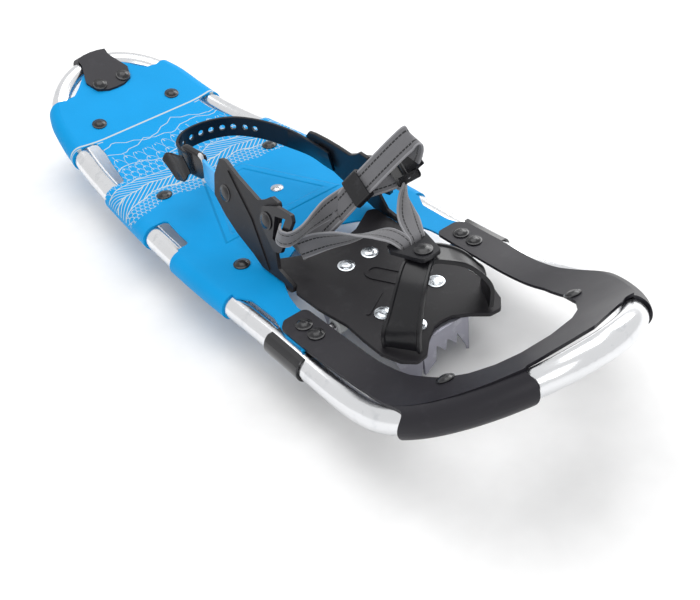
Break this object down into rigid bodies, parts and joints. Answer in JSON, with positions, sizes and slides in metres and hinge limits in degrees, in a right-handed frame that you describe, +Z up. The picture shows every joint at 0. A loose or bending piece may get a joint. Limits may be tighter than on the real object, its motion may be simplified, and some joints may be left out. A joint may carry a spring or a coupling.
{
  "type": "snowshoe",
  "caption": "Tube-frame snowshoe for one foot with a wrapped sheet deck, steel crampons and a pivoting strap binding.",
  "frame": {"origin": "on the ground under the middle of the frame, where the heel crampon's teeth stand", "axes": "+Z up, -Y towards the nose, +Y towards the tail, -X towards the ratchet buckle side"},
  "size_m": [0.2034, 0.6352, 0.147],
  "materials": {
    "tube_alloy": "polished with drawn streaks",
    "deck_sheet": "satin coated sheet",
    "toe_plate": "satin",
    "strap_plate": "satin",
    "rivet_black": "satin black",
    "rivet_zinc": "zinc plated",
    "crampon_steel": "hardened, lavender grey",
    "axle_steel": "ground",
    "band_black": "gloss",
    "nylon_white": "matte",
    "moulded_black": "satin moulded",
    "wing_grey": "satin moulded",
    "ring_black": "semi gloss",
    "webbing_grey": "woven",
    "heel_band": "gloss",
    "tab_blue": "translucent",
    "buckle_black": "semi gloss",
    "pin_steel": "ground"
  },
  "bodies": {
    "frame": {"frame_tube": "tube_alloy", "main_deck": "deck_sheet", "toe_deck": "toe_plate", "tail_strap": "strap_plate", "deck_rivets": "rivet_black", "toe_deck_rivets": "rivet_black", "tail_strap_rivets": "rivet_black", "heel_crampon_rivets": "rivet_zinc", "heel_crampon": "crampon_steel", "toe_axle": "axle_steel", "pivot_band_left": "band_black", "pivot_band_right": "band_black", "axle_collar_left": "axle_steel", "axle_collar_right": "axle_steel", "axle_bushing_left": "nylon_white", "axle_bushing_right": "nylon_white"},
    "binding": {"axle_sleeve_left": "nylon_white", "axle_sleeve_right": "nylon_white", "footbed": "moulded_black", "footbed_rivets": "rivet_zinc", "toe_crampon": "crampon_steel", "heel_wing_left": "wing_grey", "heel_wing_right": "wing_grey", "ring_rivet_left": "rivet_black", "ring_rivet_right": "rivet_black", "heel_rivet_left": "rivet_black", "heel_rivet_right": "rivet_black", "toe_wing_left": "moulded_black", "toe_wing_right": "moulded_black", "toe_ring_rivet": "rivet_black", "instep_strap": "webbing_grey", "pull_strap": "webbing_grey", "return_strap": "webbing_grey", "toe_strap": "webbing_grey", "cross_strap": "webbing_grey", "strap_keeper": "buckle_black", "cam_buckle_body": "buckle_black", "cam_buckle_pin": "pin_steel", "heel_strap": "heel_band", "heel_buckle_body": "buckle_black", "heel_buckle_pin": "pin_steel", "heel_link": "tab_blue", "anchor_strap": "webbing_grey"},
    "instep_ring_l": {"instep_ring_left": "ring_black"},
    "instep_ring_r": {"instep_ring_right": "ring_black"},
    "toe_ring_plate": {"toe_ring": "ring_black"},
    "cam_lever": {"cam_buckle_lever": "buckle_black"},
    "heel_lever": {"heel_buckle_lever": "buckle_black"}
  },
  "joints": [
    {"name": "binding_pivot", "type": "hinge", "parent": "frame", "child": "binding", "pos_m": [0, -0.117, 0.034], "axis": [1, 0, 0], "range_deg": [0, 60]},
    {"name": "instep_ring_left_swivel", "type": "hinge", "parent": "binding", "child": "instep_ring_l", "pos_m": [0.04509, -0.0455, 0.08611], "axis": [0.9744, 0, 0.225], "range_deg": [-3, 3]},
    {"name": "instep_ring_right_swivel", "type": "hinge", "parent": "binding", "child": "instep_ring_r", "pos_m": [-0.04509, -0.0455, 0.08611], "axis": [-0.9744, 0, 0.225], "range_deg": [-3, 3]},
    {"name": "toe_ring_swivel", "type": "hinge", "parent": "binding", "child": "toe_ring_plate", "pos_m": [0, -0.156, 0.0893], "axis": [0, 0.0499, 0.9988], "range_deg": [-5, 5]},
    {"name": "cam_lever_open", "type": "hinge", "parent": "binding", "child": "cam_lever", "pos_m": [0.0335, -0.09928, 0.1169], "axis": [-0.248, -0.8939, -0.3735], "range_deg": [0, 40], "stiffness_Nm_per_rad": 0.02},
    {"name": "heel_lever_open", "type": "hinge", "parent": "binding", "child": "heel_lever", "pos_m": [-0.03836, 0.07136, 0.0846], "axis": [-0.0147, -0.0647, 0.9978], "range_deg": [0, 35], "stiffness_Nm_per_rad": 0.02}
  ]
}
